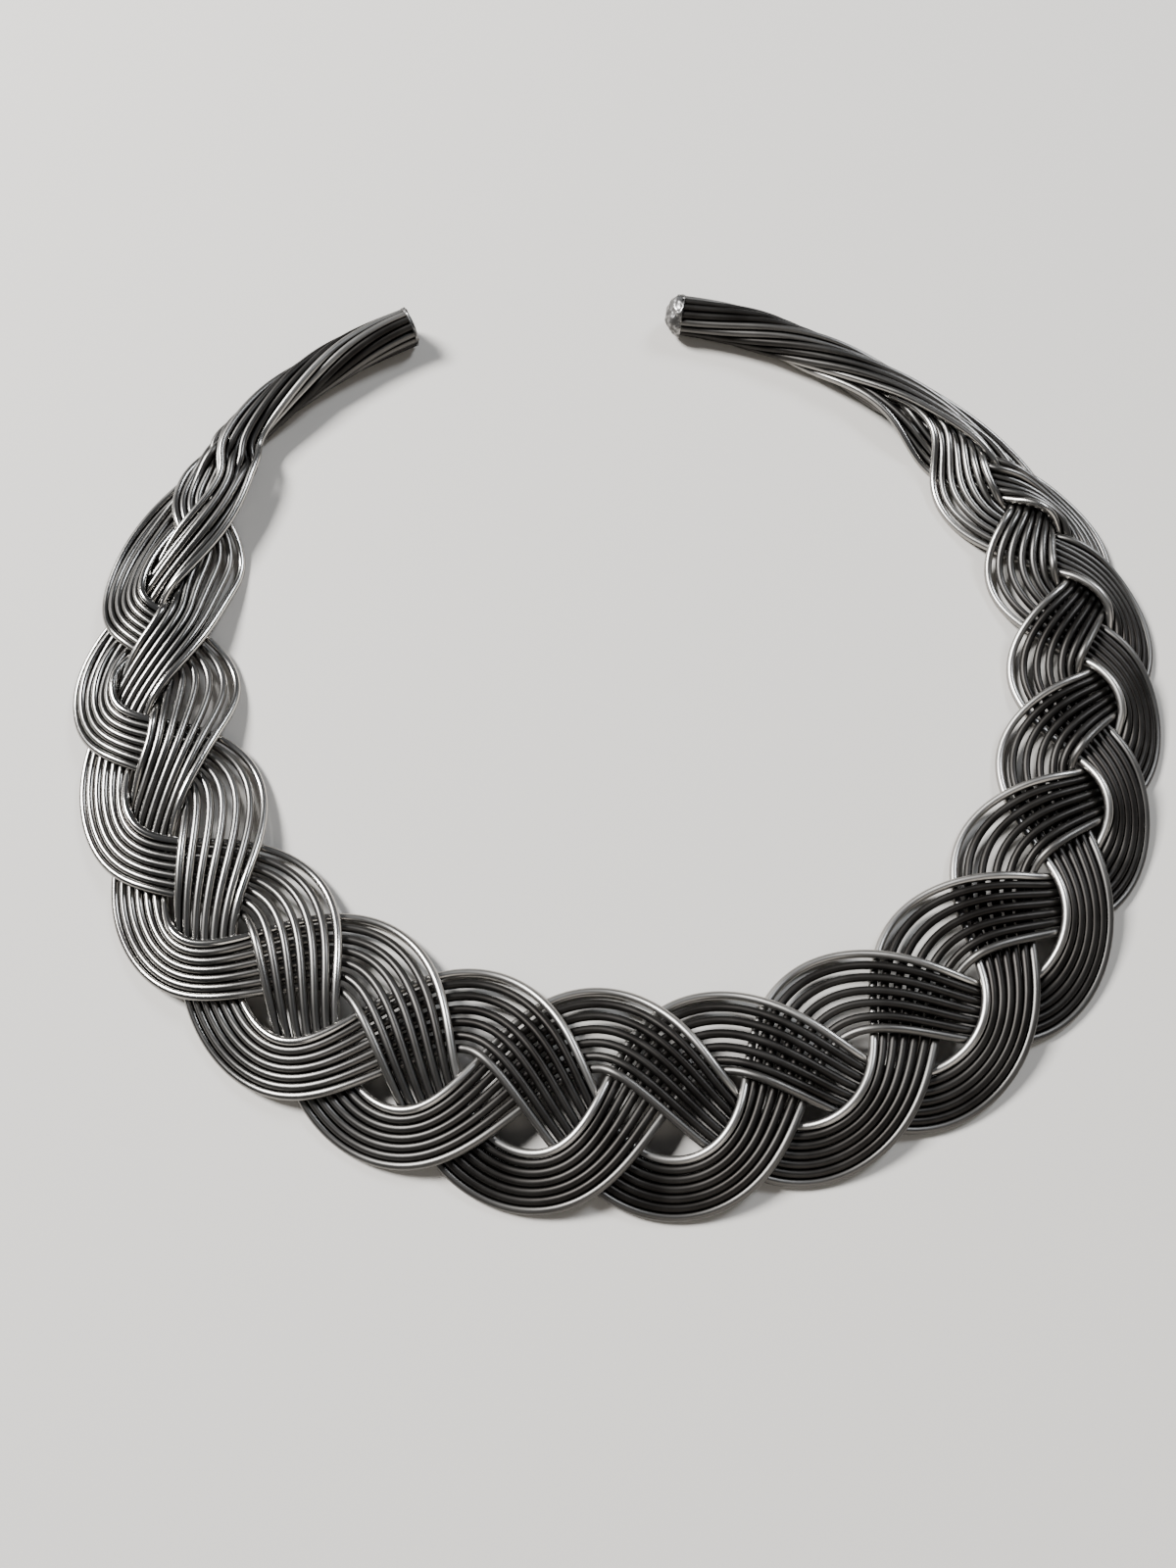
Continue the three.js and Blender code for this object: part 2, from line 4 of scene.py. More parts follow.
import bmesh
import bpy
import numpy as np
from bpy.props import (
    FloatProperty,
    FloatVectorProperty,
    IntProperty,
    PointerProperty,
)
from mathutils import Matrix, Vector, kdtree, noise


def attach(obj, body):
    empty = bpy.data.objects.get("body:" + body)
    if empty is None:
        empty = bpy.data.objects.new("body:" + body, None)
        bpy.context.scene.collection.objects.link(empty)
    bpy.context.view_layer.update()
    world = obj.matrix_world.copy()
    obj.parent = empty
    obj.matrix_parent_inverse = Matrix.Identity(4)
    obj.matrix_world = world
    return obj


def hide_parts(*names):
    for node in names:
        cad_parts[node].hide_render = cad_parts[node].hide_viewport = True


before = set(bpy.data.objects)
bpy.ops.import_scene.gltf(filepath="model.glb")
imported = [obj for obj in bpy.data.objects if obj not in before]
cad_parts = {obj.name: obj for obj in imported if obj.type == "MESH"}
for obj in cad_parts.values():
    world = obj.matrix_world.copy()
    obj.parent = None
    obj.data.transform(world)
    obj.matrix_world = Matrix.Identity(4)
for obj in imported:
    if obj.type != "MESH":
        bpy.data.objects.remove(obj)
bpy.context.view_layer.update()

bl_info = {
    "name": "Plaited hasli",
    "version": (1, 0, 0),
    "blender": (4, 5, 0),
    "location": "3D View > Sidebar > Hasli",
    "description": "A rigid open collar plaited from three ribbons of round silver wire",
    "category": "Object",
}

MM = 0.001
WIRE_GAUGE = 1.22 * MM
WIRE_SIDES = 14
WIRE_SECTIONS = 3

# ------------------------------------------------------------------ how the plait runs
#
# Angles are measured at the collar's centre in degrees from straight ahead, + to the right, and
# radii in millimetres. Strand n makes every third outer turn, and the inner turn one and a half
# turns later.

STRANDS = "abc"
WIRES_PER_STRAND = 7
# The edge wires are painted brighter: partly wear, partly painted highlight where the light
# catches their open sides.
EDGE_WEAR_AND_HIGHLIGHT = {0: 1.0, 6: 0.25}   # how much more the edge wires of a strand are polished by wear
PLAIT_CENTRE = (0.502, -0.592, 0.0)   # middle of the outline, as in the solids

# radius is where the outermost or innermost wire turns, pitch how far apart the wires lie there
Turn = namedtuple("Turn", "angle radius pitch")
OUTER_TURNS = [Turn(*row) for row in (
    (-126.8, 83.1, 1.10), (-111.0, 86.4, 1.15), (-96.5, 86.6, 1.24), (-81.8, 85.0, 1.25),
    (-66.5, 84.2, 1.25), (-51.2, 82.6, 1.25), (-35.8, 81.2, 1.25), (-19.6, 80.8, 1.25),
    (-3.2, 80.8, 1.25), (12.4, 80.6, 1.25), (28.2, 82.6, 1.25), (43.6, 84.0, 1.25),
    (60.0, 84.0, 1.25), (74.6, 85.3, 1.25), (87.0, 87.0, 1.25), (99.0, 86.0, 1.22),
    (110.5, 82.8, 1.15), (125.0, 79.8, 1.0),
)]
INNER_TURNS = [Turn(*row) for row in (
    (-117.0, 65.4, 1.7), (-99.0, 60.2, 2.0), (-82.0, 56.2, 2.05),
    (-62.5, 54.0, 2.1), (-47.4, 50.4, 2.15), (-29.2, 48.5, 2.2), (-12.8, 47.5, 2.2),
    (2.0, 49.4, 2.15), (20.0, 50.9, 2.15), (37.6, 54.0, 2.15), (53.8, 55.9, 2.15),
    (69.0, 58.6, 2.05), (82.0, 61.2, 1.95), (96.5, 62.8, 1.8), (110.0, 63.4, 1.45),
    (117.5, 67.6, 1.15),
)]

# Near the left rope the middle wires of the strands also pass these places. slant is the angle
# by which the course there leads outwards.
Guide = namedtuple("Guide", "strand angle radius pitch slant")
GUIDES = [
    Guide("c", -128.2, 74.4, 0.62, -18), Guide("c", -111.0, 76.9, 0.7, 15),
    Guide("a", -103.0, 71.6, 1.2, 26),
    Guide("b", -86.0, 69.9, 1.35, 28),
]

RIM_DEPTH = 0.95          # how deep a strand's middle wire lies inside the rim, in three pitches
TIGHT_PITCH = 0.9         # a strand lying tighter than this is in two layers
LOOSENING = 0.3           # and it is in one again when its pitch is this much wider
HALF_LAYER = 0.53

# Looking along a rope, places are given by their angle from its top, + towards the outside of
# the collar. lead is the strand that lies on top where the rope starts, the next strand follows
# on its outer side, and the last one below. twist is from the root to the tip.
Rope = namedtuple("Rope", "root tip order lead twist")
LEFT_ROPE = Rope((-136.0, 81.0), (-161.0, 80.3), "cab", -45, 130)
RIGHT_ROPE = Rope((135.0, 74.4), (161.4, 74.9), "bca", 10, -155)

ROPE_RING = 2.78          # the 14 outer wires of a rope lie on this radius
ROPE_CORE = 1.42          # and 6 around a middle one on this
ROPE_SPACING = 360 / 14
CORE_SPACING = 60
ROPE_AXIS_Z = ROPE_RING + 0.62
ROPE_TIGHTENING = 1.6     # above 1, a rope is twisted more at its root than at its tip
INTO_SOLDER = 0.6         # the wires end this far inside the solder

STEPS_PER_SWING = 16
STEPS_PER_ROPE = 16
FIRST_FAN, WIDEST_FAN, LAST_FAN = 96, 178, 285   # where in the swing a strand fans apart
FAN_SHARPNESS = 1.25
STEPS_PER_WANDER = 7      # a wire drifts from its even place over this many steps

SPRING = 25.0             # how strongly a wire straightens its short bends
HELD_FIRM = 1000.0        # how much firmer it is held inside a rope
FOLDED = 0.4              # a step shortened below this share is on the inside of a fold
FOLD_ROUNDS = 14
BEND_ROUNDS = 30
ROOT_STEPS = 25           # the stretch at a rope's root that is drawn straighter
ROOT_ROUNDS = 40
SMALLEST = 1e-9           # keeps a division from failing where two lines run alike


def polar(angle, radius):
    """The place at an angle and radius of the collar."""
    a = np.radians(angle)
    return np.array([radius * np.sin(a), -radius * np.cos(a)])


def along_collar(angle):
    """The direction round the collar, to the right, at an angle."""
    a = np.radians(angle)
    return np.array([np.cos(a), np.sin(a)])


def smooth(x):
    """0 up to 0, 1 from 1 on, and a soft step between them."""
    x = np.clip(x, 0, 1)
    return x * x * (3 - 2 * x)


def layer_of(rope, strand):
    """1 for the strand on top of a rope, 0 for the middle one and -1 for the one below."""
    return 1 - rope.order.index(STRANDS[strand])


def fan(swing):
    """Share of the fanning at a place of the swing: 0 at an outer turn, 180 at the inner one."""
    away = swing - WIDEST_FAN
    reach = np.where(away < 0, WIDEST_FAN - FIRST_FAN, LAST_FAN - WIDEST_FAN)
    return 0.5 + 0.5 * np.cos(pi * np.minimum(np.abs(away) / reach, 1) ** FAN_SHARPNESS)


Stop = namedtuple("Stop", "kind angle radius pitch slant", defaults=(0,))


def strand_stops(strand, size):
    """The turns of a strand's middle wire, from the left rope to the right one."""
    half = (WIRES_PER_STRAND - 1) / 2
    gauge = size.wire_gauge / MM
    stops = [Stop("root", *LEFT_ROPE.root, 1)]
    for k in range(strand - 3, len(OUTER_TURNS) + 3, 3):
        if 0 <= k < len(OUTER_TURNS):
            turn = OUTER_TURNS[k]
            radius = turn.radius - gauge / 2 - half * turn.pitch * RIM_DEPTH
            stops.append(Stop("outer", turn.angle, radius, turn.pitch))
        if 0 <= k < len(INNER_TURNS):
            turn = INNER_TURNS[k]
            radius = turn.radius + gauge / 2 + half * turn.pitch
            stops.append(Stop("inner", turn.angle, radius, turn.pitch))
    for guide in GUIDES:
        if guide.strand == STRANDS[strand]:
            stops.append(Stop("guide", *guide[1:]))
    stops.append(Stop("root", *RIGHT_ROPE.root, 1))
    return sorted(stops, key=lambda stop: stop.angle)


Stations = namedtuple("Stations", "place heading pitch approach into_left into_right")


def strand_stations(strand, size):
    """Places, headings and wire pitch along a strand, as cubic swings from turn to turn."""
    stops = strand_stops(strand, size)
    fullness = {"outer": size.outer_fullness, "inner": size.inner_fullness}
    parts = []
    for n, (a, b) in enumerate(zip(stops, stops[1:])):
        last = n == len(stops) - 2
        u = np.arange(STEPS_PER_SWING + last) / STEPS_PER_SWING
        start, end = polar(a.angle, a.radius), polar(b.angle, b.radius)
        reach = np.linalg.norm(end - start)
        leave, arrive = (
            along_collar(stop.angle - stop.slant) * reach * fullness.get(stop.kind, 1)
            for stop in (a, b)
        )
        basis = (
            (2 * u**3 - 3 * u**2 + 1, 6 * u**2 - 6 * u, start),
            (u**3 - 2 * u**2 + u, 3 * u**2 - 4 * u + 1, leave),
            (3 * u**2 - 2 * u**3, 6 * u - 6 * u**2, end),
            (u**3 - u**2, 3 * u**2 - 2 * u, arrive),
        )
        place = sum(value[:, None] * point for value, _, point in basis)
        heading = sum(slope[:, None] * point for _, slope, point in basis)
        heading /= np.linalg.norm(heading, axis=1)[:, None]
        rooted = "root" in (a.kind, b.kind)
        if rooted:
            pitch = np.full(len(u), a.pitch if b.kind == "root" else b.pitch)
        elif "guide" in (a.kind, b.kind):
            pitch = a.pitch + (b.pitch - a.pitch) * smooth(u)
        else:
            outward = a.kind == "inner"
            packed, widest = (b.pitch, a.pitch) if outward else (a.pitch, b.pitch)
            pitch = packed + (widest - packed) * fan(180 * u + 180 * outward)
        parts.append((
            place,
            heading,
            pitch,
            np.full(len(u), rooted),
            1 - u if a.kind == "root" else 0 * u,
            u if b.kind == "root" else 0 * u,
        ))
    return Stations(*(np.concatenate(column) for column in zip(*parts)))


def across_plait(x, y, gauge):
    """-1 at the plait's inner edge, 0 in its middle, 1 at its outer edge."""
    angle = np.degrees(np.arctan2(x, -y))
    inner = np.interp(angle, [t.angle for t in INNER_TURNS], [t.radius for t in INNER_TURNS])
    outer = np.interp(angle, [t.angle for t in OUTER_TURNS], [t.radius for t in OUTER_TURNS])
    inner, outer = inner + gauge / 2, outer - gauge / 2
    return (np.hypot(x, y) - (inner + outer) / 2) / ((outer - inner) / 2)


def rope_slot(rope, strand, offset, turned):
    """Outward and upward place of a wire in a rope: five or four outside, two or three inside."""
    place = rope.order.index(STRANDS[strand])
    middle = radians(rope.lead + (0, 5, -4.5)[place] * ROPE_SPACING)
    side = 1 if cos(middle) > 0 else -1
    if abs(offset) >= 2 or (offset == 0 and place < 2):
        steps = (abs(offset) - 1 if place < 2 else abs(offset) - 1.5) * np.sign(offset)
        radius, angle = ROPE_RING, radians(ROPE_SPACING) * steps
    else:
        radius, angle = ROPE_CORE * abs(offset), radians(CORE_SPACING / 2) * offset
    angle = middle + side * angle + turned
    return radius * np.sin(angle), radius * np.cos(angle)


class Wire:
    """The axis of one wire: points in millimetres from the left tip to the right one."""

    def __init__(self, strand, number, size, rng):
        self.strand = strand
        self.number = number
        self.name = f"strand_{STRANDS[strand]}_wire_{number + 1}"
        st = strand_stations(strand, size)
        offset = int(number - (WIRES_PER_STRAND - 1) / 2)
        gauge = size.wire_gauge / MM
        lateral = st.pitch * offset + wander(len(st.pitch), size.unevenness / MM, rng)
        right = np.stack([st.heading[:, 1], -st.heading[:, 0]], axis=1)
        xy = st.place + right * lateral[:, None]
        across = np.clip(across_plait(xy[:, 0], xy[:, 1], gauge), -1, 1)
        z = gauge / 2 + size.edge_lift / MM + size.dome_height / MM * (1 - across**2)
        stacked = 1 - smooth((st.pitch - TIGHT_PITCH) / LOOSENING)
        z += stacked * HALF_LAYER * (1 if offset % 2 else -1)
        for rope, into in ((LEFT_ROPE, st.into_left), (RIGHT_ROPE, st.into_right)):
            out, up = rope_slot(rope, strand, offset, 0)
            share = smooth(into)
            lateral += (out - lateral) * share
            z += (ROPE_AXIS_Z + up - z) * share
        self.points = np.column_stack([st.place + right * lateral[:, None], z])
        self.points = ease_cusps(self.points, st)
        left, right = (rope_points(rope, strand, offset) for rope in (LEFT_ROPE, RIGHT_ROPE))
        self.points = fair(np.concatenate([left[::-1], self.points, right]), rounds=12)
        self.rest = self.points[:, 2].copy()
        pad_left, pad_right = np.ones(len(left)), np.ones(len(right))
        into_left = np.concatenate([pad_left, st.into_left, 0 * pad_right])
        into_right = np.concatenate([0 * pad_left, st.into_right, pad_right])
        self.held = (into_left == 1) | (into_right == 1)
        self.approach = (into_left > 0) | (into_right > 0)


def wander(count, amount, rng):
    """A slow random drift along a wire, as in anything bent by hand."""
    knots = rng.normal(0, amount, count // STEPS_PER_WANDER + 3)
    return np.interp(np.arange(count) / STEPS_PER_WANDER, np.arange(len(knots)), knots)


def slack(points):
    """From each point between the ends to the middle of the line past it."""
    return (points[:-2] + points[2:]) / 2 - points[1:-1]


def ease_cusps(points, stations):
    """Draws a wire straighter on the inside of a turn that is too tight for it."""
    step = (np.diff(points[:, :2], axis=0) * stations.heading[:-1]).sum(axis=1)
    full = np.linalg.norm(np.diff(stations.place, axis=0), axis=1)
    tight = np.append(1 - smooth(step / full / FOLDED), 0)
    tight = np.convolve(tight, np.ones(5) / 3, "same").clip(0, 1)[1:-1, None]
    points = points.copy()
    for _ in range(FOLD_ROUNDS):
        points[1:-1] += 0.8 * tight * slack(points)
    return points


def fair(points, rounds):
    """Takes the kinks out of a wire and leaves its larger bends as they are."""
    points = points.copy()
    for _ in range(rounds):
        for pull in (0.5, -0.52):
            points[1:-1] += pull * slack(points)
    return points


def ease_bends(points, tightest):
    """Opens every bend that is tighter than a wire can take."""
    points = points.copy()
    for _ in range(BEND_ROUNDS):
        step = np.diff(points, axis=0)
        length = np.linalg.norm(step, axis=1)
        cosine = (step[:-1] * step[1:]).sum(axis=1) / (length[:-1] * length[1:])
        turn = np.arccos(np.clip(cosine, -1, 1))
        radius = (length[:-1] + length[1:]) / 2 / np.maximum(turn, 1e-6)
        tight = np.convolve(np.clip(1 - radius / tightest, 0, 1), np.ones(3), "same").clip(0, 1)
        points[1:-1] += 0.5 * tight[:, None] * slack(points)
    return points


def ease_roots(points, held):
    """Draws a wire straighter where it runs from the plait into a rope."""
    edge = np.abs(np.diff(held.astype(float)))
    near = np.convolve(np.append(edge, 0), np.hanning(ROOT_STEPS), "same")
    near = near.clip(0, 1)[1:-1, None]
    points = points.copy()
    for _ in range(ROOT_ROUNDS):
        points[1:-1] += 0.5 * near * slack(points)
    return points


def spring_out(route, held):
    """The route a springy wire takes in place of one that turns back on itself too soon."""
    bend = np.diff(np.eye(len(route)), 2, axis=0)
    firm = np.where(held, HELD_FIRM, 1.0)
    return np.linalg.solve(np.diag(firm) + SPRING * bend.T @ bend, firm[:, None] * route)


def rope_points(rope, strand, offset):
    """The wire from the rope's root, which the plait already has, to inside the solder."""
    side = np.sign(rope.tip[0])
    points = []
    for n in range(1, STEPS_PER_ROPE + 2):
        v = min(n / STEPS_PER_ROPE, 1)
        angle = rope.root[0] + (rope.tip[0] - rope.root[0]) * v
        radius = rope.root[1] + (rope.tip[1] - rope.root[1]) * v
        turned = radians(rope.twist) * (1 - (1 - v) ** ROPE_TIGHTENING)
        out, up = rope_slot(rope, strand, offset, turned)
        past = INTO_SOLDER if n > STEPS_PER_ROPE else 0
        place = polar(angle, radius + out) + along_collar(angle) * side * past
        points.append((*place, ROPE_AXIS_Z + up))
    return np.array(points)


# ------------------------------------------------------------------ over one, under one


def rides_over(a, approach_a, b, approach_b, right_side):
    """Strand a rides over b, b over c and c over a; near a rope its layers decide."""
    if approach_a or approach_b:
        rope = RIGHT_ROPE if right_side else LEFT_ROPE
        return layer_of(rope, a) > layer_of(rope, b)
    return (b - a) % len(STRANDS) == 1


def find_crossings(wires, first):
    """Where wires of two strands cross, seen from above: (upper k, t, lower k, t) rows."""
    rows = []
    for i, p in enumerate(wires):
        for j in range(i + 1, len(wires)):
            q = wires[j]
            if p.strand == q.strand:
                continue
            a, b = p.points[:-1, :2], q.points[:-1, :2]
            da, db = np.diff(p.points[:, :2], axis=0), np.diff(q.points[:, :2], axis=0)
            gap = b[None] - a[:, None]
            turn = da[:, None, 0] * db[None, :, 1] - da[:, None, 1] * db[None, :, 0]
            turn = np.where(np.abs(turn) < SMALLEST, SMALLEST, turn)
            s = (gap[..., 0] * db[None, :, 1] - gap[..., 1] * db[None, :, 0]) / turn
            t = (gap[..., 0] * da[:, None, 1] - gap[..., 1] * da[:, None, 0]) / turn
            for m, n in zip(*np.where((s >= 0) & (s < 1) & (t >= 0) & (t < 1))):
                one = (first[i] + m, s[m, n])
                two = (first[j] + n, t[m, n])
                over = rides_over(
                    p.strand, p.approach[m], q.strand, q.approach[n], p.points[m, 0] > 0
                )
                rows.append(one + two if over else two + one)
    return np.array(rows)


def settle(wires, size, rounds, spring=0.35, pushes=3):
    """Each wire springs straight between its crossings, while the crossings hold them apart."""
    first = np.cumsum([0] + [len(w.points) for w in wires])
    rows = find_crossings(wires, first)
    up, low = rows[:, 0].astype(int), rows[:, 2].astype(int)
    s, t = rows[:, 1], rows[:, 3]
    z = np.concatenate([w.points[:, 2] for w in wires])
    rest = np.concatenate([w.rest for w in wires])
    held = np.concatenate([w.held for w in wires])
    inside = np.ones(len(z), bool)
    inside[first[:-1]] = inside[first[1:] - 1] = False
    inner = np.where(inside & ~held)[0]
    floor, ceiling = size.wire_gauge / MM / 2, rest + size.highest_lift / MM
    rise = size.crossing_rise / MM
    spots = np.concatenate([up, up + 1, low, low + 1])
    weights = np.concatenate([1 - s, s, -(1 - t), -t])
    share = 1 / ((1 - s) ** 2 + s**2 + (1 - t) ** 2 + t**2)
    load = np.maximum(np.bincount(spots, np.abs(weights), len(z)), 1)
    for _ in range(rounds):
        lift = z - rest
        z[inner] += spring * ((lift[inner - 1] + lift[inner + 1]) / 2 - lift[inner])
        for _ in range(pushes):
            height = z[up] * (1 - s) + z[up + 1] * s - z[low] * (1 - t) - z[low + 1] * t
            push = np.tile(np.maximum(rise - height, 0) * share, 4) * weights
            shift = np.bincount(spots, push, len(z)) / load
            z += np.where(held, 0, shift)
        z = np.clip(z, floor, ceiling)
    for w, k in zip(wires, first):
        w.points[:, 2] = z[k:k + len(w.points)]


def closest(p, along, q, other):
    """Shares along two sets of straight lengths where they come closest, and the gaps."""
    back = p - q
    a, e, b = ((u * v).sum(1) for u, v in ((along, along), (other, other), (along, other)))
    c, f = (along * back).sum(1), (other * back).sum(1)
    s = np.clip((b * f - c * e) / np.maximum(a * e - b * b, SMALLEST), 0, 1)
    t = np.clip((b * s + f) / e, 0, 1)
    s = np.clip((b * t - c) / a, 0, 1)
    return s, t, back + along * s[:, None] - other * t[:, None]


def near_pairs(points, starts, wire_of, reach):
    """Pairs of straight lengths of two wires whose middles lie within reach."""
    middles = (points[starts] + points[starts + 1]) / 2
    tree = kdtree.KDTree(len(middles))
    for k, middle in enumerate(middles):
        tree.insert(middle, k)
    tree.balance()
    pairs = []
    for k, middle in enumerate(middles):
        pairs += [(k, m) for _, m, _ in tree.find_range(middle, reach) if m > k]
    pairs = np.array(pairs)
    one, two = starts[pairs[:, 0]], starts[pairs[:, 1]]
    other = wire_of[one] != wire_of[two]
    return one[other], two[other]


def separate(wires, clearance, rounds, spring=0.3, look_again=40, margin=0.5, springing=0.7):
    """Pushes every two wires apart until their axes keep the clearance, wherever they meet.

    They spring back towards their course over the given share of the rounds, and which of them
    are near each other is looked up again every few rounds.
    """
    first = np.cumsum([0] + [len(w.points) for w in wires])
    points = np.concatenate([w.points for w in wires])
    wire_of = np.repeat(np.arange(len(wires)), np.diff(first))
    rest = points.copy()
    ends = np.concatenate([first[:-1], first[1:] - 1])
    starts = np.setdiff1d(np.arange(len(points) - 1), first[1:] - 1)
    inner = np.setdiff1d(np.arange(len(points)), ends)
    longest = np.linalg.norm(points[starts + 1] - points[starts], axis=1).max()
    for n in range(rounds):
        if n % look_again == 0:
            i, j = near_pairs(points, starts, wire_of, longest + clearance + margin)
        s, t, between = closest(points[i], points[i + 1] - points[i],
                                points[j], points[j + 1] - points[j])
        gap = np.linalg.norm(between, axis=1)
        hit = (gap < clearance) & (gap > 1e-6)
        s, t, between, gap = s[hit], t[hit], between[hit], gap[hit]
        a, b = i[hit], j[hit]
        total = (1 - s) ** 2 + s**2 + (1 - t) ** 2 + t**2
        push = between * ((clearance - gap) / (gap * total))[:, None]
        spots = np.concatenate([a, a + 1, b, b + 1])
        weights = np.concatenate([1 - s, s, t - 1, -t])
        moves = np.tile(push, (4, 1)) * weights[:, None]
        load = np.maximum(np.bincount(spots, np.abs(weights), len(points)), 1)
        for axis in range(3):
            points[:, axis] += np.bincount(spots, moves[:, axis], len(points)) / load
        if n < rounds * springing:
            shift = points - rest
            points[inner] += spring * ((shift[inner - 1] + shift[inner + 1]) / 2 - shift[inner])
        points[ends] = rest[ends]
        points[:, 2] = np.maximum(points[:, 2], clearance / 2)
    for w, k in zip(wires, first):
        w.points = points[k:k + len(w.points)]


def collar_wires(size):
    """All 21 wires, settled over and under each other and run into their ropes."""
    rng = np.random.RandomState(seed=7)
    wires = [
        Wire(strand, number, size, rng)
        for strand in range(len(STRANDS))
        for number in range(WIRES_PER_STRAND)
    ]
    gauge = size.wire_gauge / MM
    for wire in wires:
        wire.points[:, :2] = spring_out(wire.points[:, :2], wire.held)
    settle(wires, size, rounds=300)
    separate(wires, gauge, rounds=120)
    for wire in wires:
        eased = ease_roots(fair(wire.points, rounds=16), wire.held)
        wire.points = ease_bends(eased, tightest=2 * gauge)
    separate(wires, gauge, rounds=100)
    for wire in wires:
        wire.points = ease_bends(fair(wire.points, rounds=8), tightest=1.5 * gauge)
    separate(wires, gauge, rounds=30)
    for wire in wires:
        wire.points = (wire.points - PLAIT_CENTRE) * MM
    return wires


# ------------------------------------------------------------------ sizes and finishes


class HasliPlaitSizes(bpy.types.PropertyGroup):
    """Sizes of the wire and of the plait"""

    wire_gauge: FloatProperty(
        name="Wire gauge", description="Diameter of the drawn wire",
        default=WIRE_GAUGE, min=0.0006, max=0.0016, unit="LENGTH", precision=5)
    crossing_rise: FloatProperty(
        name="Crossing rise",
        description="Height between two wires where one rides over the other",
        default=0.00128, min=0.0008, max=0.002, unit="LENGTH", precision=5)
    dome_height: FloatProperty(
        name="Dome height", description="Rise of the middle of the plait above its two edges",
        default=0.003, min=0.0, max=0.006, unit="LENGTH", precision=4)
    edge_lift: FloatProperty(
        name="Edge lift", description="How far the edges of the plait hover above the table",
        default=0.0002, min=0.0, max=0.001, unit="LENGTH", precision=5)
    highest_lift: FloatProperty(
        name="Highest lift", description="The most a wire is lifted by those it rides on",
        default=0.0024, min=0.001, max=0.004, unit="LENGTH", precision=4)
    outer_fullness: FloatProperty(
        name="Outer fullness", description="How round the turns at the outer edge are",
        default=1.35, min=0.9, max=1.6)
    inner_fullness: FloatProperty(
        name="Inner fullness", description="How round the turns at the neckline are",
        default=1.05, min=0.9, max=1.6)
    unevenness: FloatProperty(
        name="Unevenness", description="How far a wire wanders from its even place",
        default=0.00005, min=0.0, max=0.0003, unit="LENGTH", precision=5)
    wire_sides: IntProperty(
        name="Wire sides", description="Faces around a wire",
        default=WIRE_SIDES, min=8, max=24)
    sections_per_step: IntProperty(
        name="Smoothness", description="Sections from one station of a wire to the next",
        default=WIRE_SECTIONS, min=1, max=4)


class HasliSilverFinish(bpy.types.PropertyGroup):
    """Colours of the silver"""

    # oxide is also the colour of the painted shade in the grooves between wires
    oxide: FloatVectorProperty(
        name="Oxide", description="Colour of the darkened silver in the grooves",
        subtype="COLOR", size=3, min=0, max=1, default=(0.011, 0.0095, 0.0085))
    # bare is also the colour of the painted highlight on the lit arms and the edge wires
    bare: FloatVectorProperty(
        name="Bare silver", description="Colour of the silver where wear has polished it",
        subtype="COLOR", size=3, min=0, max=1, default=(0.62, 0.595, 0.56))
    solder: FloatVectorProperty(
        name="Solder", description="Colour of the solder on the rope ends",
        subtype="COLOR", size=3, min=0, max=1, default=(0.30, 0.29, 0.28))


class HasliStageSettings(bpy.types.PropertyGroup):
    """The floor and the camera"""

    floor_colour: FloatVectorProperty(
        name="Floor", description="Colour of the plain floor",
        subtype="COLOR", size=3, min=0, max=1, default=(0.52, 0.495, 0.46))
    floor_size: FloatProperty(
        name="Floor size", description="Side of the square floor",
        default=4.0, min=1.0, max=10.0, unit="LENGTH")
    view_pitch: FloatProperty(
        name="View pitch", description="How steeply the camera looks down",
        default=radians(67.67), min=0.1, max=1.5, subtype="ANGLE")
    view_turn: FloatProperty(
        name="View turn", description="How far the camera stands round to the left of the front",
        default=radians(9.0), min=-3.2, max=3.2, subtype="ANGLE")
    view_distance: FloatProperty(
        name="View distance", description="Camera to the point of the table it looks at",
        default=0.174, min=0.1, max=2.0, unit="LENGTH")
    view_centre: FloatVectorProperty(
        name="View centre", description="The point of the table the camera looks at",
        subtype="XYZ", size=3, default=(-0.00810, -0.01541, 0.0), unit="LENGTH")
    lens: FloatProperty(
        name="Lens", description="Focal length in millimetres for a 36 mm long side",
        default=25.875, min=10, max=200)


# ------------------------------------------------------------------ shader expressions


